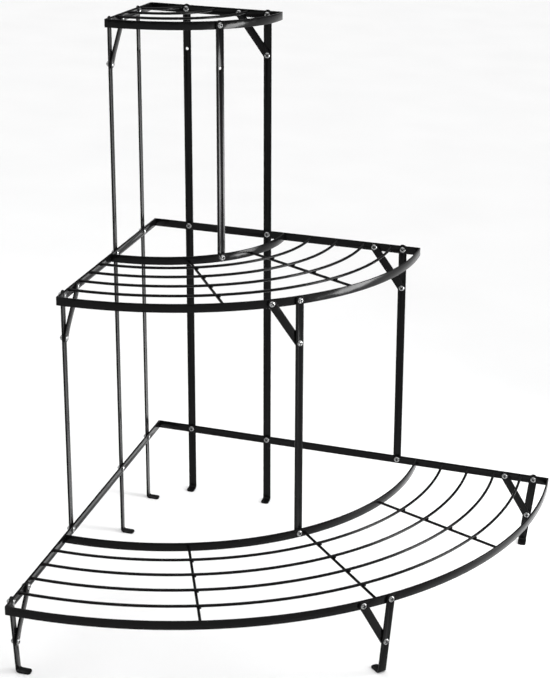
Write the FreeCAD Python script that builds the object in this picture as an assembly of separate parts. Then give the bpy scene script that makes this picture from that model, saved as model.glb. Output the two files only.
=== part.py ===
import FreeCAD, Part
import math
import os

# Corner plant stand: three quarter-round shelves that step down from a corner, made of flat
# steel bar and round wire, with bolted uprights and diagonal braces.  Millimetres, +Z up.
# The stand is laid out with the outer faces of its two straight sides meeting at (0, 0): the
# right rails run along +X and the left rails along -Y.  Angles on a shelf are measured from
# its left rail.  On export everything moves by ORIGIN_SHIFT, which puts the origin on the
# floor under the middle of the stand's box.

os.makedirs("parts", exist_ok=True)

Vector = FreeCAD.Vector
UP = Vector(0, 0, 1)

# ---------------------------------------------------------------- driving dimensions

# Flat bar, on edge in the shelf frames and upright in the legs and braces
BAR_WIDTH = 15.0
BAR_THICKNESS = 3.0
HOLE_DIAMETER = 6.0

# Shelves: height of the top edge above the floor, and outer radius of the front arc
TOP_HEIGHT = 1000.0
MIDDLE_HEIGHT = 573.0
BOTTOM_HEIGHT = 140.5
TOP_RADIUS = 258.5
MIDDLE_RADIUS = 528.0
BOTTOM_RADIUS = 788.5

# Wires that fill the shelves, and the spokes that carry them from below
WIRE_DIAMETER = 5.0
WIRE_DROP = 4.0
TOP_WIRE_COUNT = 3
MIDDLE_WIRE_COUNT = 4
BOTTOM_WIRE_COUNT = 4

# Spokes: angle from the left rail at the inner arc, and at the front arc.  The inner ends lie
# a little to the right of the radius, which takes the middle one past a hanger's bolt.
MIDDLE_SPOKES = [(31.8, 31.0), (61.0, 60.2)]
BOTTOM_SPOKES = [(23.5, 22.7), (46.9, 44.9), (68.0, 67.1)]

# Uprights on the rails: distance of each bolt from the first wire or from the front arc
BACK_LEG_GAP = 7.5
TOP_LEG_SETBACK = 29.0
MIDDLE_LEG_SETBACK = 33.5
BOTTOM_LEG_SETBACK = 29.0

# Uprights on the front arcs: distance along the arc from its middle
TOP_HANGER_OFFSET = 5.0
MIDDLE_HANGER_OFFSET = 5.5
FRONT_LEG_OFFSET = 20.0

# Shape of the uprights
END_DISTANCE = 9.0
SHORT_LEG_RAKE = 6.5
FOOT_LENGTH = 24.0
FOOT_BEND_RADIUS = 3.0
FOOT_CORNER_RADIUS = 5.0

# Braces: where they bolt on, measured from the bolt that holds the upright
BRACE_REACH = 54.0
BRACE_DROP = 76.5
BRACE_PAD_MARGIN = 0.5

# Bolts and nuts
BOLT_DIAMETER = 5.0
HEAD_DIAMETER = 10.5
HEAD_HEIGHT = 3.0
HEAD_RIM = 0.8
NUT_WIDTH = 8.0
NUT_HEIGHT = 4.0
BOLT_TIP = 1.5
THREAD_CLEARANCE = 0.1

# Gap between a flat bar and the hollow side of an arc that it is bolted to
ARC_CLEARANCE = 0.05

# Lengths closer than this are taken as equal
TOLERANCE = 1e-4

# ---------------------------------------------------------------- sizes that follow

HALF_WIDTH = BAR_WIDTH / 2
WIRE_RADIUS = WIRE_DIAMETER / 2
SPOKE_DROP = WIRE_DROP + WIRE_DIAMETER
NUT_CORNER_RADIUS = NUT_WIDTH / math.sqrt(3)

# Nothing stands further out behind the rails than a bolt through rail and upright
BACK_REACH = BAR_THICKNESS + NUT_HEIGHT + BOLT_TIP
BOX_MIDDLE = (BOTTOM_RADIUS - BACK_REACH) / 2
ORIGIN_SHIFT = Vector(-BOX_MIDDLE, BOX_MIDDLE, 0)


def chord_sag(radius, half_chord):
    """How far a circle bulges past a chord of the given half length."""
    return radius - math.sqrt(radius ** 2 - half_chord ** 2)


class Shelf:
    """One quarter-round shelf.  upper is the shelf that steps up from it, if there is one."""

    def __init__(self, name, height, radius, upper, wire_count, spokes):
        self.name = name
        self.top = height
        self.bottom = height - BAR_WIDTH
        self.bolt_height = height - HALF_WIDTH
        self.radius = radius
        self.inside = radius - BAR_THICKNESS
        self.upper = upper
        self.inner_radius = self.inner_arc_radius() if upper else 0.0
        self.wire_count = wire_count
        self.spokes = spokes

    def inner_arc_radius(self):
        """Outer radius of the inner arc, which clears the edges of the hanger inside it."""
        hanger_edge = math.hypot(self.upper.radius + BAR_THICKNESS, HALF_WIDTH)
        return hanger_edge + ARC_CLEARANCE + BAR_THICKNESS

    def rail_reach(self):
        """How far from the corner the rails run before they meet the inside of the arc."""
        return math.sqrt(self.inside ** 2 - BAR_THICKNESS ** 2)

    def wire_radii(self):
        """Centre lines of the wires, evenly spaced from the corner or inner arc outward."""
        step = (self.inside - self.inner_radius) / (self.wire_count + 1)
        return [self.inner_radius + step * (index + 1) for index in range(self.wire_count)]


TOP = Shelf("top", TOP_HEIGHT, TOP_RADIUS, None, TOP_WIRE_COUNT, [])
MIDDLE = Shelf("middle", MIDDLE_HEIGHT, MIDDLE_RADIUS, TOP, MIDDLE_WIRE_COUNT, MIDDLE_SPOKES)
BOTTOM = Shelf("bottom", BOTTOM_HEIGHT, BOTTOM_RADIUS, MIDDLE, BOTTOM_WIRE_COUNT, BOTTOM_SPOKES)
SHELVES = [TOP, MIDDLE, BOTTOM]


# ---------------------------------------------------------------- places on the frames

class Place:
    """A spot on the outer face of a rail or arc.  inward points into the shelf, and along
    follows the bar so that inward, along and up are right-handed.  brace_side is 1 where
    the brace lies on the side that along points to, and -1 on the other side."""

    def __init__(self, point, inward, brace_side):
        self.point = point
        self.inward = inward
        self.along = UP.cross(inward)
        self.brace_side = brace_side

    def at(self, inward, along, height):
        """A point given by its distances from this spot and its height above the floor."""
        return self.point + self.inward * inward + self.along * along + UP * height

    def put(self, shape):
        """Moves a shape drawn with X inward, Y along and Z up to this spot."""
        matrix = FreeCAD.Matrix(
            self.inward.x, self.along.x, 0, self.point.x,
            self.inward.y, self.along.y, 0, self.point.y,
            0, 0, 1, 0,
            0, 0, 0, 1)
        return shape.transformed(matrix, True)


def left_place(station):
    """On the left rails, at a distance from the corner."""
    return Place(Vector(0, -station, 0), Vector(1, 0, 0), 1)


def right_place(station):
    """On the right rails, at a distance from the corner."""
    return Place(Vector(station, 0, 0), Vector(0, -1, 0), -1)


def direction_at(angle):
    """Level unit vector from the corner, at an angle from the left rail."""
    turn = math.radians(angle)
    return Vector(math.sin(turn), -math.cos(turn), 0)


def arc_place(radius, offset):
    """On an arc about the corner, at a distance along it from its middle."""
    outward = direction_at(45 + math.degrees(offset / radius))
    return Place(outward * radius, outward * -1, 1)


# ---------------------------------------------------------------- shelf frames

def drilled(bar, height, places):
    """A bar with a bolt hole square to its face at each place."""
    drill_reach = 4 * BAR_THICKNESS
    drills = []
    for place in places:
        start = place.at(-drill_reach, 0, height)
        drills.append(Part.makeCylinder(HOLE_DIAMETER / 2, 2 * drill_reach, start, place.inward))
    return bar.cut(drills) if drills else bar


def quarter_ring(outer_radius, inset, low):
    """An upright bar bent to a quarter circle, its ends cut flush with planes that lie the
    inset inside the outer faces of the rails."""
    def ends(radius):
        reach = math.sqrt(radius ** 2 - inset ** 2)
        return Vector(inset, -reach, low), Vector(reach, -inset, low)

    def arc(radius, start, end):
        return Part.Arc(start, direction_at(45) * radius + UP * low, end).toShape()

    inner_radius = outer_radius - BAR_THICKNESS
    outer_start, outer_end = ends(outer_radius)
    inner_start, inner_end = ends(inner_radius)
    outline = Part.Wire([
        arc(outer_radius, outer_start, outer_end),
        Part.makeLine(outer_end, inner_end),
        arc(inner_radius, inner_end, inner_start),
        Part.makeLine(inner_start, outer_start)])
    return Part.Face(outline).extrude(UP * BAR_WIDTH)


def front_arc(shelf, holes):
    """The curved bar at the front of a shelf, which covers the ends of both rails."""
    return drilled(quarter_ring(shelf.radius, 0.0, shelf.bottom), shelf.bolt_height, holes)


def inner_arc(shelf, holes):
    """The curved bar between the rails that holds the hanger of the shelf above."""
    bar = quarter_ring(shelf.inner_radius, BAR_THICKNESS, shelf.bottom)
    return drilled(bar, shelf.bolt_height, holes)


def left_rail(shelf, holes):
    """The straight bar on the left, which runs right up to the corner."""
    reach = shelf.rail_reach()
    bar = Part.makeBox(BAR_THICKNESS, reach, BAR_WIDTH, Vector(0, -reach, shelf.bottom))
    return drilled(bar, shelf.bolt_height, holes)


def right_rail(shelf, holes):
    """The straight bar on the right, which butts against the left rail."""
    length = shelf.rail_reach() - BAR_THICKNESS
    corner = Vector(BAR_THICKNESS, -BAR_THICKNESS, shelf.bottom)
    bar = Part.makeBox(length, BAR_THICKNESS, BAR_WIDTH, corner)
    return drilled(bar, shelf.bolt_height, holes)


def wire(shelf, radius):
    """One round wire bent to a quarter circle, its ends on the inner faces of the rails."""
    start_angle = math.degrees(math.asin(BAR_THICKNESS / (radius - WIRE_RADIUS)))
    start = direction_at(start_angle)
    centre = start * radius + UP * (shelf.top - WIRE_DROP)
    section = Part.Face(Part.Wire(Part.makeCircle(WIRE_RADIUS, centre, UP.cross(start))))
    return section.revolve(Vector(0, 0, 0), UP, 90 - 2 * start_angle)


def spoke(shelf, inner_angle, outer_angle):
    """One straight rod under the wires, from the inner arc to the front arc, its ends cut to
    their curve."""
    height = UP * (shelf.top - SPOKE_DROP)
    start = direction_at(inner_angle) * (shelf.inner_radius - WIRE_RADIUS) + height
    end = direction_at(outer_angle) * (shelf.inside + WIRE_RADIUS) + height
    rod = Part.makeCylinder(WIRE_RADIUS, (end - start).Length, start, end - start)
    low = Vector(0, 0, shelf.bottom)
    within = Part.makeCylinder(shelf.inside, BAR_WIDTH, low)
    return rod.common(within.cut(Part.makeCylinder(shelf.inner_radius, BAR_WIDTH, low)))


# ---------------------------------------------------------------- uprights

class Upright:
    """An upright bar on one place, bolted to each of its shelves, the highest one first.
    brace_place is where its brace is bolted to the highest shelf, if it has a brace."""

    def __init__(self, name, place, shelves, footed, brace_place=None, rake=0.0):
        self.name = name
        self.place = place
        self.shelves = shelves
        self.footed = footed
        self.brace_place = brace_place
        self.rake = math.radians(rake) * place.brace_side
        self.head_height = shelves[0].bolt_height

    def brace_hole(self):
        """Where the hole for a brace's lower end is: distance along, and height."""
        along = BRACE_DROP * math.sin(self.rake)
        return along, self.head_height - BRACE_DROP * math.cos(self.rake)


def round_end(centre, upward):
    """Half circle that closes an upright's outline, and its two ends, left one first."""
    across = Vector(0, upward.z, -upward.y)
    left = centre - across * HALF_WIDTH
    right = centre + across * HALF_WIDTH
    return Part.Arc(left, centre + upward * HALF_WIDTH, right).toShape(), left, right


def upright_outline(upright, low):
    """An upright seen square on, Y across and Z up, about its top bolt.  Above the foot's
    bend it may be raked; its upper end is rounded, and so is its lower end without a foot."""
    upward = Vector(0, -math.sin(upright.rake), math.cos(upright.rake))
    bolt = Vector(0, 0, upright.head_height)
    crown, left, right = round_end(bolt + upward * (END_DISTANCE - HALF_WIDTH), upward)
    if not upright.footed:
        heel, heel_left, heel_right = round_end(Vector(0, 0, low + HALF_WIDTH), UP * -1)
        sides = [Part.makeLine(right, heel_left), heel, Part.makeLine(heel_right, left)]
        return Part.Face(Part.Wire([crown] + sides))
    bend = low + FOOT_BEND_RADIUS + BAR_THICKNESS
    middle, half = foot_middle(upright)
    corners = [
        right,
        Vector(0, middle + half, bend),
        Vector(0, middle + half, low),
        Vector(0, middle - half, low),
        Vector(0, middle - half, bend),
        left]
    sides = [Part.makeLine(a, b) for a, b in zip(corners, corners[1:])]
    return Part.Face(Part.Wire([crown] + sides))


def foot_middle(upright):
    """Where a raked bar meets its foot's bend: middle along Y, and half its width there."""
    bend = FOOT_BEND_RADIUS + BAR_THICKNESS
    middle = math.tan(upright.rake) * (upright.head_height - bend)
    return middle, HALF_WIDTH / math.cos(upright.rake)


def footed_profile(high):
    """Side view of a bar that turns inward on the floor into a foot, X inward and Z up."""
    outer_bend = FOOT_BEND_RADIUS + BAR_THICKNESS
    tip = FOOT_LENGTH - BAR_THICKNESS
    centre = Vector(FOOT_BEND_RADIUS, 0, outer_bend)
    diagonal = Vector(-1, 0, -1).normalize()

    def bend(start, radius, end):
        return Part.Arc(start, centre + diagonal * radius, end).toShape()

    outer_top = Vector(-BAR_THICKNESS, 0, high)
    outer_low = Vector(-BAR_THICKNESS, 0, outer_bend)
    sole_start = Vector(FOOT_BEND_RADIUS, 0, 0)
    sole_end = Vector(tip, 0, 0)
    upper_end = Vector(tip, 0, BAR_THICKNESS)
    upper_start = Vector(FOOT_BEND_RADIUS, 0, BAR_THICKNESS)
    inner_low = Vector(0, 0, outer_bend)
    inner_top = Vector(0, 0, high)
    return Part.Face(Part.Wire([
        Part.makeLine(outer_top, outer_low),
        bend(outer_low, outer_bend, sole_start),
        Part.makeLine(sole_start, sole_end),
        Part.makeLine(sole_end, upper_end),
        Part.makeLine(upper_end, upper_start),
        bend(upper_start, FOOT_BEND_RADIUS, inner_low),
        Part.makeLine(inner_low, inner_top),
        Part.makeLine(inner_top, outer_top)]))


def with_rounded_foot(bar):
    """Rounds the two upright corner edges at the tip of a foot."""
    tip = FOOT_LENGTH - BAR_THICKNESS
    corners = [edge for edge in bar.Edges
               if all(abs(vertex.X - tip) < TOLERANCE for vertex in edge.Vertexes)
               and abs(edge.Length - BAR_THICKNESS) < TOLERANCE]
    return bar.makeFillet(FOOT_CORNER_RADIUS, corners)


def upright_bar(upright):
    """The finished bar, with a hole for each shelf and one for a brace."""
    if upright.footed:
        front = upright_outline(upright, 0.0)
        front.translate(Vector(-BAR_THICKNESS, 0, 0))
        bar = front.extrude(Vector(FOOT_LENGTH, 0, 0))
        side = footed_profile(upright.head_height + END_DISTANCE)
        reach = BAR_WIDTH + abs(foot_middle(upright)[0])
        side.translate(Vector(0, -reach, 0))
        bar = with_rounded_foot(bar.common(side.extrude(Vector(0, 2 * reach, 0))))
    else:
        front = upright_outline(upright, upright.shelves[-1].bolt_height - END_DISTANCE)
        front.translate(Vector(-BAR_THICKNESS, 0, 0))
        bar = front.extrude(Vector(BAR_THICKNESS, 0, 0))
    holes = [(0.0, shelf.bolt_height) for shelf in upright.shelves]
    holes.append(upright.brace_hole())
    drills = []
    for along, height in holes:
        start = Vector(-2 * BAR_THICKNESS, along, height)
        drills.append(Part.makeCylinder(HOLE_DIAMETER / 2, 3 * BAR_THICKNESS, start, Vector(1, 0, 0)))
    return upright.place.put(bar.cut(drills))


# ---------------------------------------------------------------- braces

def brace_pad(hole, normal, forward, length):
    """The flat end of a brace about its bolt hole, round behind the hole.  Gives the pad and
    the rectangle where the rest of the brace carries on."""
    side = normal.cross(forward) * HALF_WIDTH
    half = normal * (BAR_THICKNESS / 2)
    low = hole - half
    outline = Part.Wire([
        Part.Arc(low + side, low - forward * HALF_WIDTH, low - side).toShape(),
        Part.makeLine(low - side, low - side + forward * length),
        Part.makeLine(low - side + forward * length, low + side + forward * length),
        Part.makeLine(low + side + forward * length, low + side)])
    pad = Part.Face(outline).extrude(normal * BAR_THICKNESS)
    drill = Part.makeCylinder(HOLE_DIAMETER / 2, 3 * BAR_THICKNESS, hole - normal * BAR_THICKNESS, normal)
    end = hole + forward * length
    return pad.cut(drill), [end + side + half, end - side + half, end - side - half, end + side - half]


def pad_length(forward, bar_axis):
    """How far a pad runs flat before its slanted end is clear of the bar that it lies on."""
    slant = abs(forward.dot(bar_axis))
    return HALF_WIDTH * (1 + slant) / math.sqrt(1 - slant ** 2) + BRACE_PAD_MARGIN


def brace_bar(upright, seat):
    """The diagonal strip from the shelf's bar down to the upright, set over at one end.
    seat is how far inward the middle of its upper pad lies."""
    along, height = upright.brace_hole()
    low_normal = upright.place.inward
    high_normal = upright.brace_place.inward
    low_hole = upright.place.at(BAR_THICKNESS / 2, along, height)
    high_hole = upright.brace_place.at(seat, 0, upright.head_height)
    span = high_hole - low_hole

    def flat(normal):
        return (span - normal * span.dot(normal)).normalize()

    low_forward = flat(low_normal)
    high_forward = flat(high_normal)
    leg_axis = upright.place.along * -math.sin(upright.rake) + UP * math.cos(upright.rake)
    low_length = pad_length(low_forward, leg_axis)
    high_length = pad_length(high_forward, upright.brace_place.along)
    low_pad, low_end = brace_pad(low_hole, low_normal, low_forward, low_length)
    high_pad, high_end = brace_pad(high_hole, high_normal, high_forward * -1, high_length)
    # Seen along the brace the upper pad's rectangle runs the other way round
    high_end = [high_end[1], high_end[0], high_end[3], high_end[2]]
    sections = [Part.makePolygon(end + end[:1]) for end in (low_end, high_end)]
    middle = Part.makeLoft(sections, True, True)
    return low_pad.fuse([middle, high_pad]).removeSplitter()


# ---------------------------------------------------------------- bolts and nuts

class Joint:
    """One bolt through two bars at a place.  head and nut are the distances inward of the
    faces that the bolt's head and its nut press on."""

    def __init__(self, place, along, height, head, nut):
        self.grip = abs(nut - head)
        self.seat = place.at(head, along, height)
        self.outward = place.inward * (1.0 if head > nut else -1.0)

    def put(self, shape):
        """Moves a shape drawn with the head's seat at the origin and the head towards +Z."""
        turn = FreeCAD.Rotation(UP, self.outward)
        return shape.transformed(FreeCAD.Placement(self.seat, turn).toMatrix(), True)


def bolt(joint):
    """A bolt with a low domed head, its shank reaching through the nut."""
    head_radius = HEAD_DIAMETER / 2
    shank_radius = BOLT_DIAMETER / 2
    shank_end = -(joint.grip + NUT_HEIGHT + BOLT_TIP)
    dome_sagitta = HEAD_HEIGHT - HEAD_RIM
    dome_radius = (head_radius ** 2 + dome_sagitta ** 2) / (2 * dome_sagitta)
    dome_turn = math.asin(head_radius / dome_radius) / 2
    dome_middle = Vector(
        dome_radius * math.sin(dome_turn), 0,
        HEAD_HEIGHT - dome_radius * (1 - math.cos(dome_turn)))
    rim = Vector(head_radius, 0, HEAD_RIM)
    corners = [
        Vector(0, 0, HEAD_HEIGHT),
        Vector(0, 0, shank_end),
        Vector(shank_radius, 0, shank_end),
        Vector(shank_radius, 0, 0),
        Vector(head_radius, 0, 0),
        rim]
    edges = [Part.makeLine(a, b) for a, b in zip(corners, corners[1:])]
    edges.append(Part.Arc(rim, dome_middle, corners[0]).toShape())
    return joint.put(Part.Face(Part.Wire(edges)).revolve(Vector(0, 0, 0), UP, 360))


def nut(joint):
    """A plain hexagon nut on the far side of the bars."""
    corners = []
    for index in range(6):
        turn = math.radians(60 * index)
        corners.append(Vector(math.cos(turn), math.sin(turn), 0) * NUT_CORNER_RADIUS)
    hexagon = Part.Face(Part.makePolygon(corners + corners[:1]))
    body = hexagon.extrude(UP * NUT_HEIGHT)
    body = body.cut(Part.makeCylinder(BOLT_DIAMETER / 2 + THREAD_CLEARANCE, NUT_HEIGHT))
    body.translate(Vector(0, 0, -joint.grip - NUT_HEIGHT))
    return joint.put(body)


# ---------------------------------------------------------------- how things are bolted

def rail_joints(upright, shelf):
    """On a rail the heads are inside the shelf and the nuts are behind it."""
    joints = [Joint(upright.place, 0, shelf.bolt_height, BAR_THICKNESS, -BAR_THICKNESS)]
    if upright.brace_place and shelf is upright.shelves[0]:
        along, height = upright.brace_hole()
        joints.append(Joint(upright.brace_place, 0, shelf.bolt_height, 2 * BAR_THICKNESS, 0))
        joints.append(Joint(upright.place, along, height, BAR_THICKNESS, -BAR_THICKNESS))
    return joints


def arc_joints(upright, shelf):
    """On an arc the heads are outside, and the nuts sit in the hollow of the arc."""
    if shelf is not upright.shelves[0]:
        return [Joint(upright.place, 0, shelf.bolt_height, shelf.upper.radius - shelf.inner_radius, 0)]
    hollow = BAR_THICKNESS + chord_sag(shelf.inside, NUT_CORNER_RADIUS)
    joints = [Joint(upright.place, 0, shelf.bolt_height, -BAR_THICKNESS, hollow)]
    if upright.brace_place:
        along, height = upright.brace_hole()
        joints.append(Joint(upright.brace_place, 0, shelf.bolt_height, -BAR_THICKNESS, hollow))
        joints.append(Joint(upright.place, along, height, -BAR_THICKNESS, BAR_THICKNESS))
    return joints


def bolted_places(uprights, shelf):
    """Every place on a shelf's rail or front arc that needs a bolt hole."""
    places = [upright.place for upright in uprights if shelf in upright.shelves]
    for upright in uprights:
        if upright.brace_place and shelf is upright.shelves[0]:
            places.append(upright.brace_place)
    return places


# ---------------------------------------------------------------- the stand

def rail_uprights(side, place_at):
    """The four uprights on one side's rails, from the corner out."""
    corner_station = TOP.wire_radii()[0] + BACK_LEG_GAP
    tall_station = TOP.radius - TOP_LEG_SETBACK
    step_station = MIDDLE.radius - MIDDLE_LEG_SETBACK
    short_station = BOTTOM.radius - BOTTOM_LEG_SETBACK

    def braced(name, station, shelves, footed, rake=0.0):
        brace_place = place_at(station - BRACE_REACH)
        return Upright(f"{side}_{name}", place_at(station), shelves, footed, brace_place, rake)

    return [
        Upright(f"{side}_corner_leg", place_at(corner_station), SHELVES, True),
        braced("tall_leg", tall_station, SHELVES, True),
        braced("step_post", step_station, [MIDDLE, BOTTOM], False),
        braced("short_leg", short_station, [BOTTOM], True, SHORT_LEG_RAKE)]


def front_uprights():
    """The two hangers and the short leg under the middle of the front arcs."""
    def braced(name, shelves, offset, footed, rake=0.0):
        radius = shelves[0].radius
        brace_place = arc_place(radius, offset - BRACE_REACH)
        return Upright(f"front_{name}", arc_place(radius, offset), shelves, footed, brace_place, rake)

    return [
        Upright("front_top_hanger", arc_place(TOP.radius, TOP_HANGER_OFFSET), [TOP, MIDDLE], False),
        braced("middle_hanger", [MIDDLE, BOTTOM], MIDDLE_HANGER_OFFSET, False),
        braced("short_leg", [BOTTOM], FRONT_LEG_OFFSET, True, SHORT_LEG_RAKE)]


def save(node, shape):
    """Writes one named piece in the stand's own frame."""
    placed = shape.copy()
    placed.translate(ORIGIN_SHIFT)
    placed.exportStep(f"parts/{node}.step")


LEFT = rail_uprights("left", left_place)
RIGHT = rail_uprights("right", right_place)
FRONT = front_uprights()

for shelf in SHELVES:
    hangers = [upright for upright in FRONT if shelf in upright.shelves[1:]]
    front_holes = bolted_places([upright for upright in FRONT if shelf is upright.shelves[0]], shelf)
    save(f"{shelf.name}_left_rail", left_rail(shelf, bolted_places(LEFT, shelf)))
    save(f"{shelf.name}_right_rail", right_rail(shelf, bolted_places(RIGHT, shelf)))
    save(f"{shelf.name}_front_arc", front_arc(shelf, front_holes))
    if shelf.upper:
        save(f"{shelf.name}_inner_arc", inner_arc(shelf, bolted_places(hangers, shelf)))
    for number, radius in enumerate(shelf.wire_radii(), start=1):
        save(f"{shelf.name}_wire_{number}", wire(shelf, radius))
    for number, (inner_angle, outer_angle) in enumerate(shelf.spokes, start=1):
        save(f"{shelf.name}_spoke_{number}", spoke(shelf, inner_angle, outer_angle))

    joints = []
    for upright in LEFT + RIGHT:
        if shelf in upright.shelves:
            joints += rail_joints(upright, shelf)
    for upright in FRONT:
        if shelf in upright.shelves:
            joints += arc_joints(upright, shelf)
    save(f"{shelf.name}_bolts", Part.makeCompound([bolt(joint) for joint in joints]))
    save(f"{shelf.name}_nuts", Part.makeCompound([nut(joint) for joint in joints]))

for upright in LEFT + RIGHT + FRONT:
    save(upright.name, upright_bar(upright))
    if upright.brace_place:
        seat = -BAR_THICKNESS / 2 if upright in FRONT else 1.5 * BAR_THICKNESS
        save(f"{upright.name}_brace", brace_bar(upright, seat))
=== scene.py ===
import math
import random

import bmesh
import bpy
from mathutils import Matrix, Vector


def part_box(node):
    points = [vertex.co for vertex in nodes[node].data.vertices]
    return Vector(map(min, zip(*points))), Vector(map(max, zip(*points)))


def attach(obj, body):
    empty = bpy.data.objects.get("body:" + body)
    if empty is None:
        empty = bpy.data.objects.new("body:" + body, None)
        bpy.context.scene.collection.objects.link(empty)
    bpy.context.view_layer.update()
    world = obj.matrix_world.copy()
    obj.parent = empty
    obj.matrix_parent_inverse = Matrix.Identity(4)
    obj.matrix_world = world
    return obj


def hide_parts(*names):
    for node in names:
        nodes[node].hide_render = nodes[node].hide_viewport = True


# A corner plant stand of black powder-coated flat bar and round wire, on a pale studio floor.
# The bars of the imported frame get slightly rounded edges, the bolts and nuts get their full
# shape, and weld beads join the wires, spokes and arcs.  Metres; the stand's front faces +X, -Y.

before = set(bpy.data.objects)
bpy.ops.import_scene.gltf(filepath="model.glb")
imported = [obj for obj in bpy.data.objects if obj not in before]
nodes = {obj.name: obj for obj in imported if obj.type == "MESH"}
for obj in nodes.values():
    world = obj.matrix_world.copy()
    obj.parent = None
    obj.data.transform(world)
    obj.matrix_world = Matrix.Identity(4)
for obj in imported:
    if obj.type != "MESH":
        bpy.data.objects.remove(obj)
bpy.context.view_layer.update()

MM = 0.001

# ---------------------------------------------------------------- sizes

# Rounding that the coating leaves on the edges of the flat bars.  Corners nearer than SAME_POINT
# are joined, faces that turn by less than COPLANAR become one, and edges that turn by more than
# SHARP are rounded.
EDGE_ROUNDING = 0.4 * MM
COPLANAR = math.radians(0.1)
SHARP = math.radians(35)
SAME_POINT = 0.002 * MM

# Domed bolt heads with a cross recess, whose floor is smaller than its mouth by RECESS_TAPER
# and falls a little further to a point
HEAD_RADIUS = 5.25 * MM
HEAD_RIM = 0.8 * MM
HEAD_EDGE = 0.25 * MM
HEAD_HEIGHT = 3.0 * MM
HEAD_RINGS = (0.9, 0.8, 0.7)
# Corners of a bolt's solid that lie further out than this share of the head are on its rim
RIM_SHARE = 0.8
RECESS_ARM = 3.3 * MM
RECESS_HALF_WIDTH = 0.95 * MM
RECESS_DEPTH = 1.7 * MM
RECESS_TAPER = 0.62
RECESS_POINT = 0.4 * MM
# Turns from the middle of an arm at which the recess has corners on its way to the next arm
RECESS_TURNS = (0.37, 0.52)

# Shanks: plain under the head, then threaded to the tip
SHANK_RADIUS = 2.5 * MM
SHANK_STEPS = 20
PLAIN_LENGTH = 2.0 * MM
THREAD_PITCH = 0.8 * MM
THREAD_DEPTH = 0.35 * MM

# Nuts: room round the shank, chamfer of the bore, how far the flat ends stay inside the
# hexagon, and the slope from there to its corners
THREAD_CLEARANCE = 0.1 * MM
BORE_CHAMFER = 0.35 * MM
NUT_END_INSET = 0.2 * MM
NUT_SLOPE = math.tan(math.radians(30))
NUT_STEPS = 36

# Weld beads on the wires and at the ends of the spokes: their half sizes, how far they lie from
# the middle of the wire in shares of its radius, and how unevenly they swell
BEAD_SIZE = Vector((2.4, 2.4, 1.92)) * MM
BEAD_OUT = 0.8
BEAD_DOWN = 0.9
END_BEAD_DOWN = 0.6
SPOKE_BEAD_SIZE = Vector((2.64, 2.64, 2.376)) * MM
SPOKE_BEAD_DROP = 0.6 * MM
BEAD_SWELL = 0.1
# One in this many of a spoke's corners belongs to each of its ends
END_CORNERS = 8
HALVINGS = 30

# Seeds of the turns of the bolt heads and of the uneven beads
SPIN_SEED = 7
BEAD_SEED = 11


# ---------------------------------------------------------------- materials

COAT_DARK = (0.003, 0.003, 0.0032)
COAT_LIGHT = (0.0045, 0.0045, 0.0047)
COAT_DUST = (0.006, 0.006, 0.0058)
COAT_GLOSS = 0.11
# Tints of the zinc, each times its brightness
ZINC_WARM = (1.0, 0.985, 0.95)
ZINC_COOL = (0.86, 0.89, 0.93)
FLOOR_DARK = (0.86, 0.86, 0.862)
FLOOR_LIGHT = (0.9, 0.9, 0.9)


def new_material(name):
    """A material with one shader, and the node tree that it stands in."""
    material = bpy.data.materials.new(name)
    material.use_nodes = True
    tree = material.node_tree
    tree.nodes.clear()
    output = tree.nodes.new("ShaderNodeOutputMaterial")
    shader = tree.nodes.new("ShaderNodeBsdfPrincipled")
    tree.links.new(shader.outputs["BSDF"], output.inputs["Surface"])
    return material, tree, shader


def noise(tree, scale, detail=3.0, roughness=0.5):
    """Noise over the object's own space, the scale counted in waves for each metre."""
    place = tree.nodes.new("ShaderNodeTexCoord")
    node = tree.nodes.new("ShaderNodeTexNoise")
    node.inputs["Scale"].default_value = scale
    node.inputs["Detail"].default_value = detail
    node.inputs["Roughness"].default_value = roughness
    tree.links.new(place.outputs["Object"], node.inputs["Vector"])
    return node.outputs["Fac"]


def span(tree, value, low, high, start=0.0, end=1.0):
    """Maps a value from the range start to end onto the range low to high."""
    node = tree.nodes.new("ShaderNodeMapRange")
    node.inputs["From Min"].default_value = start
    node.inputs["From Max"].default_value = end
    node.inputs["To Min"].default_value = low
    node.inputs["To Max"].default_value = high
    tree.links.new(value, node.inputs["Value"])
    return node.outputs["Result"]


def blend(tree, factor, first, second):
    """A colour between two others; either may be a colour or a socket."""
    node = tree.nodes.new("ShaderNodeMix")
    node.data_type = "RGBA"
    tree.links.new(factor, node.inputs["Factor"])
    for socket, colour in ((node.inputs["A"], first), (node.inputs["B"], second)):
        if isinstance(colour, tuple):
            socket.default_value = colour + (1.0,)
        else:
            tree.links.new(colour, socket)
    return node.outputs["Result"]


def bump(tree, height, distance, strength, under=None):
    """Bumps of a height, laid over other bumps where these are given as under."""
    node = tree.nodes.new("ShaderNodeBump")
    node.inputs["Distance"].default_value = distance
    node.inputs["Strength"].default_value = strength
    tree.links.new(height, node.inputs["Height"])
    if under:
        tree.links.new(under, node.inputs["Normal"])
    return node.outputs["Normal"]


def upward(tree):
    """One where a surface faces up, zero where it is upright or faces down."""
    geometry = tree.nodes.new("ShaderNodeNewGeometry")
    parts = tree.nodes.new("ShaderNodeSeparateXYZ")
    tree.links.new(geometry.outputs["Normal"], parts.inputs["Vector"])
    return span(tree, parts.outputs["Z"], 0.0, 1.0, 0.3, 1.0)


def multiply(tree, first, second):
    node = tree.nodes.new("ShaderNodeMath")
    node.operation = "MULTIPLY"
    tree.links.new(first, node.inputs[0])
    tree.links.new(second, node.inputs[1])
    return node.outputs["Value"]


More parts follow.
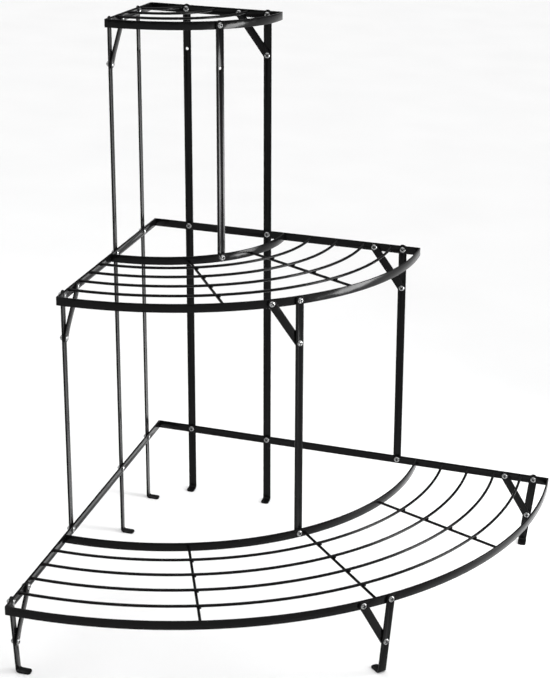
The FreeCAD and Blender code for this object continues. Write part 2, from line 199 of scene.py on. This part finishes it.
def powder_coat(name, peel_strength, rough_low, rough_high):
    """Satin black powder coat: faint orange peel, uneven sheen, a breath of dust on top."""
    material, tree, shader = new_material(name)
    cloud = noise(tree, scale=14.0, detail=4.0)
    grain = noise(tree, scale=1400.0, detail=2.0)
    peel = noise(tree, scale=520.0, detail=2.0, roughness=0.4)
    coat = blend(tree, cloud, COAT_DARK, COAT_LIGHT)
    dust = multiply(tree, upward(tree), span(tree, grain, 0.0, 0.5, start=0.45, end=0.75))
    tree.links.new(blend(tree, dust, coat, COAT_DUST), shader.inputs["Base Color"])
    sheen = span(tree, cloud, rough_low, rough_high, start=0.3, end=0.7)
    tree.links.new(sheen, shader.inputs["Roughness"])
    fine = bump(tree, grain, distance=0.02 * MM, strength=0.35)
    bumps = bump(tree, peel, distance=0.08 * MM, strength=peel_strength, under=fine)
    tree.links.new(bumps, shader.inputs["Normal"])
    shader.inputs["Specular IOR Level"].default_value = COAT_GLOSS
    return material


def zinc(name, bright, rough_low, rough_high):
    """Bright zinc plate: cool grey metal with faint cloudy patches and fine scratches."""
    material, tree, shader = new_material(name)
    cloud = noise(tree, scale=260.0, detail=3.0)
    scratch = noise(tree, scale=2600.0, detail=2.0, roughness=0.7)
    warm = tuple(bright * part for part in ZINC_WARM)
    cool = tuple(bright * part for part in ZINC_COOL)
    tree.links.new(blend(tree, cloud, warm, cool), shader.inputs["Base Color"])
    sheen = span(tree, scratch, rough_low, rough_high, start=0.3, end=0.7)
    tree.links.new(sheen, shader.inputs["Roughness"])
    bumps = bump(tree, scratch, distance=0.02 * MM, strength=0.3)
    tree.links.new(bumps, shader.inputs["Normal"])
    shader.inputs["Metallic"].default_value = 1.0
    return material


def pale_floor():
    """Matt near-white floor, faintly mottled, with a fine grain."""
    material, tree, shader = new_material("pale_floor")
    mottle = noise(tree, scale=3.0, detail=5.0)
    grain = noise(tree, scale=220.0, detail=3.0)
    tree.links.new(blend(tree, mottle, FLOOR_DARK, FLOOR_LIGHT), shader.inputs["Base Color"])
    tree.links.new(span(tree, mottle, 0.55, 0.7), shader.inputs["Roughness"])
    bumps = bump(tree, grain, distance=0.2 * MM, strength=0.15)
    tree.links.new(bumps, shader.inputs["Normal"])
    return material


bar_coat = powder_coat("black_coat_on_bar", peel_strength=0.1, rough_low=0.16, rough_high=0.23)
wire_coat = powder_coat("black_coat_on_wire", peel_strength=0.12, rough_low=0.2, rough_high=0.3)
bead_coat = powder_coat("black_coat_on_weld", peel_strength=0.4, rough_low=0.36, rough_high=0.5)
bolt_zinc = zinc("bright_zinc", bright=0.36, rough_low=0.22, rough_high=0.38)
# Near-black zinc for the cross recesses of the bolt heads: painted shade that stands in for the
# shade inside each recess
recess_painted_shade_zinc = zinc("zinc_painted_recess_shade", bright=0.05, rough_low=0.45, rough_high=0.6)
nut_zinc = zinc("nut_zinc", bright=0.34, rough_low=0.26, rough_high=0.42)


# ---------------------------------------------------------------- mesh helpers

def add_piece(name, mesh_data, materials):
    """Makes a piece of the mesh data, which it uses up, and rides it on the stand."""
    mesh = bpy.data.meshes.new(name)
    mesh_data.normal_update()
    mesh_data.to_mesh(mesh)
    mesh_data.free()
    for material in materials:
        mesh.materials.append(material)
    piece = bpy.data.objects.new(name, mesh)
    bpy.context.scene.collection.objects.link(piece)
    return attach(piece, "root")


def welded_copy(node):
    """A copy of a CAD node's mesh whose triangles share their corners."""
    mesh_data = bmesh.new()
    mesh_data.from_mesh(nodes[node].data)
    bmesh.ops.remove_doubles(mesh_data, verts=mesh_data.verts, dist=SAME_POINT)
    return mesh_data


def islands(node):
    """The separate solids of a node: for each the list of its corners, and the direction that
    the greatest flat part of its surface faces."""
    mesh_data = welded_copy(node)
    mesh_data.normal_update()
    mesh_data.verts.ensure_lookup_table()
    waiting = dict.fromkeys(range(len(mesh_data.verts)))
    found = []
    while waiting:
        reached = [mesh_data.verts[next(iter(waiting))]]
        waiting.pop(reached[0].index)
        for vert in reached:
            for link in vert.link_edges:
                other = link.other_vert(vert)
                if other.index in waiting:
                    waiting.pop(other.index)
                    reached.append(other)
        faces = {face for vert in reached for face in vert.link_faces}
        found.append(([vert.co.copy() for vert in reached], widest_normal(faces)))
    mesh_data.free()
    return found


def widest_normal(faces):
    """The direction that more of the faces' area shares than any other."""
    areas = {}
    for face in faces:
        way = tuple(round(part, 3) for part in face.normal)
        areas[way] = areas.get(way, 0.0) + face.calc_area()
    return Vector(max(sorted(areas), key=lambda way: areas[way])).normalized()


def revolved(mesh_data, turn_to_place, profile, steps):
    """Adds a surface of revolution: profile points are (radius, height) from end to end,
    closed at an end whose radius is zero."""
    rings = []
    for radius, height in profile:
        if radius == 0:
            rings.append([mesh_data.verts.new(turn_to_place @ Vector((0, 0, height)))])
            continue
        ring = []
        for step in range(steps):
            turn = 2 * math.pi * step / steps
            point = Vector((radius * math.cos(turn), radius * math.sin(turn), height))
            ring.append(mesh_data.verts.new(turn_to_place @ point))
        rings.append(ring)
    join_rings(mesh_data, rings)


def join_rings(mesh_data, rings, material_index=0):
    """Faces between rings of corners that run the same way round; a ring of one is a tip."""
    for low, high in zip(rings, rings[1:]):
        count = max(len(low), len(high))
        for step in range(count):
            after = (step + 1) % count
            corners = [low[step % len(low)]]
            if len(low) > 1:
                corners.append(low[after])
            if len(high) > 1:
                corners.append(high[after])
            corners.append(high[step % len(high)])
            face = mesh_data.faces.new(corners)
            face.smooth = True
            face.material_index = material_index


# ---------------------------------------------------------------- flat bars

def eased_bar(node):
    """A flat bar as in the frame, its edges rounded as the coating rounds them."""
    mesh_data = welded_copy(node)
    bmesh.ops.dissolve_limit(
        mesh_data, angle_limit=COPLANAR, verts=mesh_data.verts, edges=mesh_data.edges,
        use_dissolve_boundaries=False)
    for face in mesh_data.faces:
        face.smooth = True
    piece = add_piece(f"{node}_eased", mesh_data, [bar_coat])
    rounding = piece.modifiers.new("rounding", "BEVEL")
    rounding.width = EDGE_ROUNDING
    rounding.segments = 2
    rounding.limit_method = "ANGLE"
    rounding.angle_limit = SHARP
    rounding.use_clamp_overlap = False
    rounding.harden_normals = True
    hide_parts(node)


# ---------------------------------------------------------------- bolts and nuts

def mid_way(points, direction):
    """Half way between the nearest and the farthest of the points along a direction."""
    reaches = [point.dot(direction) for point in points]
    return (min(reaches) + max(reaches)) / 2


class BoltPlace:
    """Where a bolt sits, found from its solid.  seat is the middle of the face under its head,
    axis points from there to the head, and tip is the far end's distance."""

    def __init__(self, corners, under_head):
        self.axis = under_head * -1
        middle = sum(corners, Vector()) / len(corners)
        rim_start = HEAD_RADIUS * RIM_SHARE
        wide = [corner for corner in corners if self.off_axis(corner, middle) > rim_start]
        across = self.axis.orthogonal().normalized()
        along = self.axis.cross(across)
        under = min(corner.dot(self.axis) for corner in wide)
        self.seat = (
            self.axis * under + across * mid_way(wide, across) + along * mid_way(wide, along))
        self.tip = -min((corner - self.seat).dot(self.axis) for corner in corners)

    def off_axis(self, corner, middle):
        """How far a point is from the line along the axis through another point."""
        offset = corner - middle
        return (offset - self.axis * offset.dot(self.axis)).length

    def matrix(self):
        """Stands a shape drawn along +Z on this place."""
        turn = self.axis.to_track_quat("Z", "Y").to_matrix().to_4x4()
        return Matrix.Translation(self.seat) @ turn


def dome_height(radius):
    """Height of the domed head above its seat at a distance from its axis."""
    rise = HEAD_HEIGHT - HEAD_RIM
    ball = (HEAD_RADIUS ** 2 + rise ** 2) / (2 * rise)
    return HEAD_HEIGHT - ball + math.sqrt(ball ** 2 - radius ** 2)


def recess_outline():
    """The cross on a bolt head as (x, y) points in order, eight to each arm."""
    tip = math.atan2(RECESS_HALF_WIDTH, RECESS_ARM)
    near, far = RECESS_TURNS
    turns = [-math.pi / 4, -far, -near, -tip, 0.0, tip, near, far]
    outline = []
    for arm in range(4):
        for turn in turns:
            if abs(turn) <= tip:
                reach = RECESS_ARM / math.cos(turn)
            else:
                reach = RECESS_HALF_WIDTH / math.sin(abs(turn))
            whole = turn + arm * math.pi / 2
            outline.append((reach * math.cos(whole), reach * math.sin(whole)))
    return outline


def bolt_head(mesh_data, place, spin):
    """A low domed head with a cross recess, turned by the spin about its own axis."""
    stand = place.matrix() @ Matrix.Rotation(spin, 4, "Z")
    outline = recess_outline()

    def ring(points):
        return [mesh_data.verts.new(stand @ Vector(point)) for point in points]

    def circle(radius, height):
        turns = [math.atan2(y, x) for x, y in outline]
        return ring([(radius * math.cos(turn), radius * math.sin(turn), height) for turn in turns])

    rim_radius = HEAD_RADIUS - HEAD_EDGE / 2
    sides = [
        circle(rim_radius, 0.0),
        circle(HEAD_RADIUS, HEAD_EDGE),
        circle(HEAD_RADIUS, HEAD_RIM - HEAD_EDGE / 2),
        circle(rim_radius, dome_height(rim_radius))]
    for share in HEAD_RINGS:
        sides.append(circle(HEAD_RADIUS * share, dome_height(HEAD_RADIUS * share)))
    lip = ring([(x, y, dome_height(math.hypot(x, y))) for x, y in outline])
    join_rings(mesh_data, sides + [lip])
    floor_height = HEAD_HEIGHT - RECESS_DEPTH
    bottom = ring([(x * RECESS_TAPER, y * RECESS_TAPER, floor_height) for x, y in outline])
    point = ring([(0, 0, floor_height - RECESS_POINT)])
    # The recess walls and floor take the second material, the near-black zinc of painted recess
    # shade
    join_rings(mesh_data, [lip, bottom, point], material_index=1)
    under = ring([(0, 0, 0)])
    join_rings(mesh_data, [under, sides[0]])


def bolt_shank(mesh_data, place):
    """The shank with its thread, which shows where it stands out of the nut."""
    profile = [(0, 0.0), (SHANK_RADIUS, 0.0), (SHANK_RADIUS, -PLAIN_LENGTH)]
    height = -PLAIN_LENGTH - THREAD_PITCH / 2
    while height > -place.tip + THREAD_PITCH:
        profile.append((SHANK_RADIUS - THREAD_DEPTH, height))
        profile.append((SHANK_RADIUS, height - THREAD_PITCH / 2))
        height -= THREAD_PITCH
    profile.append((SHANK_RADIUS - THREAD_DEPTH, -place.tip))
    profile.append((0, -place.tip))
    profile.reverse()
    revolved(mesh_data, place.matrix(), profile, SHANK_STEPS)


def nut_body(mesh_data, place, corners):
    """A hexagon nut with chamfered corners on the bolt at this place."""
    stand = place.matrix()
    turn_back = stand.inverted()
    heights = [(corner - place.seat).dot(place.axis) for corner in corners]
    low, high = min(heights), max(heights)
    far = max((turn_back @ corner for corner in corners), key=lambda point: point.xy.length)
    flat = far.xy.length * math.cos(math.pi / 6)
    first = math.atan2(far.y, far.x)
    end_radius = flat - NUT_END_INSET

    def side_reach(turn):
        """Distance of the hexagon from the axis at a turn from its first corner."""
        return flat / math.cos(turn % (math.pi / 3) - math.pi / 6)

    def ring(radius_and_height):
        """A ring of corners, each with the radius and height that go with its turn."""
        ring_corners = []
        for step in range(NUT_STEPS):
            turn = 2 * math.pi * step / NUT_STEPS
            radius, height = radius_and_height(turn)
            way = first + turn
            point = Vector((radius * math.cos(way), radius * math.sin(way), height))
            ring_corners.append(mesh_data.verts.new(stand @ point))
        return ring_corners

    def circle(radius, height):
        return ring(lambda turn: (radius, height))

    def hexagon(height, inward):
        """The outline at one end, sloped at its corners; inward is 1 or -1, towards the middle."""
        return ring(lambda turn: (
            side_reach(turn), height + inward * (side_reach(turn) - end_radius) * NUT_SLOPE))

    bore = SHANK_RADIUS + THREAD_CLEARANCE
    rings = [
        circle(bore, low + BORE_CHAMFER), circle(bore + BORE_CHAMFER, low),
        circle(end_radius, low), hexagon(low, 1), hexagon(high, -1), circle(end_radius, high),
        circle(bore + BORE_CHAMFER, high), circle(bore, high - BORE_CHAMFER)]
    join_rings(mesh_data, rings + [rings[0]])


def fasteners(shelf):
    """The bolts and the nuts of one shelf, each set as one piece in place of its node."""
    bolt_places = [BoltPlace(corners, flat) for corners, flat in islands(f"{shelf}_bolts")]
    heads = bmesh.new()
    spins = random.Random(SPIN_SEED)
    for place in bolt_places:
        bolt_head(heads, place, spins.uniform(0, math.pi / 2))
        bolt_shank(heads, place)
    piece = add_piece(f"{shelf}_cross_bolts", heads, [bolt_zinc, recess_painted_shade_zinc])
    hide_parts(f"{shelf}_bolts")
    bodies = bmesh.new()
    for corners, _ in islands(f"{shelf}_nuts"):
        middle = sum(corners, Vector()) / len(corners)
        place = min(bolt_places, key=lambda bolt: (middle - bolt.seat).length)
        nut_body(bodies, place, corners)
    piece = add_piece(f"{shelf}_chamfered_nuts", bodies, [nut_zinc])
    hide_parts(f"{shelf}_nuts")


# ---------------------------------------------------------------- weld beads

# Where the outer faces of the two straight sides meet
stand_corner = Vector((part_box("bottom_left_rail")[0].x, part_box("bottom_right_rail")[1].y, 0))
rail_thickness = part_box("top_left_rail")[1].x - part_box("top_left_rail")[0].x


def bead(mesh_data, centre, size, chance):
    """A small uneven mound of weld metal."""
    start = len(mesh_data.verts)
    bmesh.ops.create_icosphere(mesh_data, subdivisions=2, radius=1.0)
    mesh_data.verts.ensure_lookup_table()
    for vert in mesh_data.verts[start:]:
        swell = 1 + chance.uniform(-BEAD_SWELL, BEAD_SWELL)
        point = vert.co * swell
        vert.co = centre + Vector((point.x * size.x, point.y * size.y, point.z * size.z))


def wire_size(node):
    """Radius of a curved wire's centre line, its own radius, and the height of its middle."""
    low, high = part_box(node)
    wire_radius = (high.z - low.z) / 2
    return high.x - stand_corner.x - wire_radius, wire_radius, (low.z + high.z) / 2


def from_corner(point):
    """How far a point is from the stand's corner, seen from above."""
    return (point - stand_corner).xy.length


def spoke_ends(node):
    """The middle points of a spoke's inner and outer end."""
    points = sorted((vert.co for vert in nodes[node].data.vertices), key=from_corner)
    count = len(points) // END_CORNERS
    inner = sum(points[:count], Vector()) / count
    outer = sum(points[-count:], Vector()) / count
    height = (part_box(node)[0].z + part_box(node)[1].z) / 2
    return Vector((inner.x, inner.y, height)), Vector((outer.x, outer.y, height))


def crossing(start, end, radius):
    """Where the straight line from start to end lies at a distance from the stand's corner,
    found by halving the line."""
    low, high = 0.0, 1.0
    for _ in range(HALVINGS):
        middle = (low + high) / 2
        if from_corner(start.lerp(end, middle)) < radius:
            low = middle
        else:
            high = middle
    return start.lerp(end, low)


def shelf_beads(shelf):
    """The beads of one shelf: where wires cross spokes, and at the ends of both."""
    chance = random.Random(BEAD_SEED)
    mesh_data = bmesh.new()
    wires = sorted(name for name in nodes if name.startswith(f"{shelf}_wire_"))
    spokes = sorted(name for name in nodes if name.startswith(f"{shelf}_spoke_"))
    for wire in wires:
        radius, wire_radius, height = wire_size(wire)
        for spoke in spokes:
            start, end = spoke_ends(spoke)
            meeting = crossing(start, end, radius)
            outward = (meeting - stand_corner).xy.normalized()
            side = outward * wire_radius * BEAD_OUT + Vector((-outward.y, outward.x)) * wire_radius
            bead_height = height - wire_radius * BEAD_DOWN
            centre = Vector((meeting.x + side.x, meeting.y + side.y, bead_height))
            bead(mesh_data, centre, BEAD_SIZE, chance)
        reach = math.sqrt(radius ** 2 - rail_thickness ** 2)
        for end in (Vector((rail_thickness, -reach, 0)), Vector((reach, -rail_thickness, 0))):
            centre = stand_corner + end + Vector((0, 0, height - wire_radius * END_BEAD_DOWN))
            bead(mesh_data, centre, BEAD_SIZE, chance)
    for spoke in spokes:
        for end in spoke_ends(spoke):
            bead(mesh_data, end - Vector((0, 0, SPOKE_BEAD_DROP)), SPOKE_BEAD_SIZE, chance)
    for face in mesh_data.faces:
        face.smooth = True
    piece = add_piece(f"{shelf}_weld_beads", mesh_data, [bead_coat])


# ---------------------------------------------------------------- the stand

for name in nodes:
    if name.endswith(("_bolts", "_nuts")):
        continue
    if "_wire_" in name or "_spoke_" in name:
        nodes[name].data.materials.clear()
        nodes[name].data.materials.append(wire_coat)
        for polygon in nodes[name].data.polygons:
            polygon.use_smooth = True
    else:
        eased_bar(name)

for shelf in ("top", "middle", "bottom"):
    fasteners(shelf)
    shelf_beads(shelf)

# ---------------------------------------------------------------- floor, light and camera

FLOOR_HALF = 30.0
# The sky's strength, and its shade at each height from straight down (0) to straight up (1)
SKY_GLOW = 2.1
WALL_SHADE = 0.08
SKY_SHADES = ((0.0, 0.5), (0.51, 0.5), (0.535, WALL_SHADE), (0.8, WALL_SHADE), (0.9, 1.0))

# The one light, which the fronts of the arcs mirror
SOFTBOX_PLACE = Vector((1.1, 0.35, 0.52))
SOFTBOX_TARGET = Vector((0.0, 0.35, 0.52))
SOFTBOX_WIDTH = 0.42
SOFTBOX_HEIGHT = 0.84
SOFTBOX_POWER = 10.5
SOFTBOX_SPREAD = math.radians(100)

CAMERA_PLACE = (0.5129, -2.3293, 1.3727)
CAMERA_DEGREES = (74.05, -2.0, 16.156)
CAMERA_LENS = 79.528
CAMERA_SHIFT = (0.0737, -0.1622)
CAMERA_SLANT = 0.0425


def floor():
    """A wide pale floor under the stand."""
    mesh_data = bmesh.new()
    corners = [(-1, -1), (1, -1), (1, 1), (-1, 1)]
    mesh_data.faces.new(
        [mesh_data.verts.new((x * FLOOR_HALF, y * FLOOR_HALF, 0)) for x, y in corners])
    mesh = bpy.data.meshes.new("floor")
    mesh_data.to_mesh(mesh)
    mesh_data.free()
    mesh.materials.append(pale_floor())
    plane = bpy.data.objects.new("floor", mesh)
    bpy.context.scene.collection.objects.link(plane)


def softbox():
    """A tall soft light to the right of the stand."""
    lamp = bpy.data.lights.new("right_softbox", "AREA")
    lamp.shape = "RECTANGLE"
    lamp.size = SOFTBOX_WIDTH
    lamp.size_y = SOFTBOX_HEIGHT
    lamp.energy = SOFTBOX_POWER
    lamp.spread = SOFTBOX_SPREAD
    holder = bpy.data.objects.new("right_softbox", lamp)
    holder.location = SOFTBOX_PLACE
    facing = SOFTBOX_TARGET - SOFTBOX_PLACE
    holder.rotation_euler = facing.to_track_quat("-Z", "Y").to_euler()
    bpy.context.scene.collection.objects.link(holder)


def studio_sky():
    """A white surround at floor level, a dim band of wall above it and a bright ceiling."""
    world = bpy.data.worlds.new("studio")
    bpy.context.scene.world = world
    world.use_nodes = True
    tree = world.node_tree
    place = tree.nodes.new("ShaderNodeTexCoord")
    parts = tree.nodes.new("ShaderNodeSeparateXYZ")
    tree.links.new(place.outputs["Generated"], parts.inputs["Vector"])
    ramp = tree.nodes.new("ShaderNodeValToRGB")
    tree.links.new(span(tree, parts.outputs["Z"], 0.0, 1.0, -1.0, 1.0), ramp.inputs["Fac"])
    while len(ramp.color_ramp.elements) < len(SKY_SHADES):
        ramp.color_ramp.elements.new(0.5)
    for element, (height, shade) in zip(ramp.color_ramp.elements, SKY_SHADES):
        element.position = height
        element.color = (shade, shade, shade, 1.0)
    backdrop = tree.nodes["Background"]
    tree.links.new(ramp.outputs["Color"], backdrop.inputs["Color"])
    backdrop.inputs["Strength"].default_value = SKY_GLOW


def plain_tones():
    """Plain tones keep the pale floor white and the black coat deep, as in the photograph."""
    bpy.context.scene.view_settings.view_transform = "Standard"


def camera():
    """The picture leans its uprights a little, which no turn of a camera does, so the camera
    hangs from a holder through a slight slant."""
    lens = bpy.data.cameras.new("camera")
    lens.lens = CAMERA_LENS
    lens.shift_x, lens.shift_y = CAMERA_SHIFT
    eye = bpy.data.objects.new("camera", lens)
    holder = bpy.data.objects.new("camera_holder", None)
    for item in (eye, holder):
        bpy.context.scene.collection.objects.link(item)
    holder.location = CAMERA_PLACE
    holder.rotation_euler = [math.radians(angle) for angle in CAMERA_DEGREES]
    slant = Matrix.Identity(4)
    slant[0][1] = CAMERA_SLANT
    eye.parent = holder
    eye.matrix_parent_inverse = slant
    bpy.context.scene.camera = eye


floor()
studio_sky()
softbox()
plain_tones()
camera()
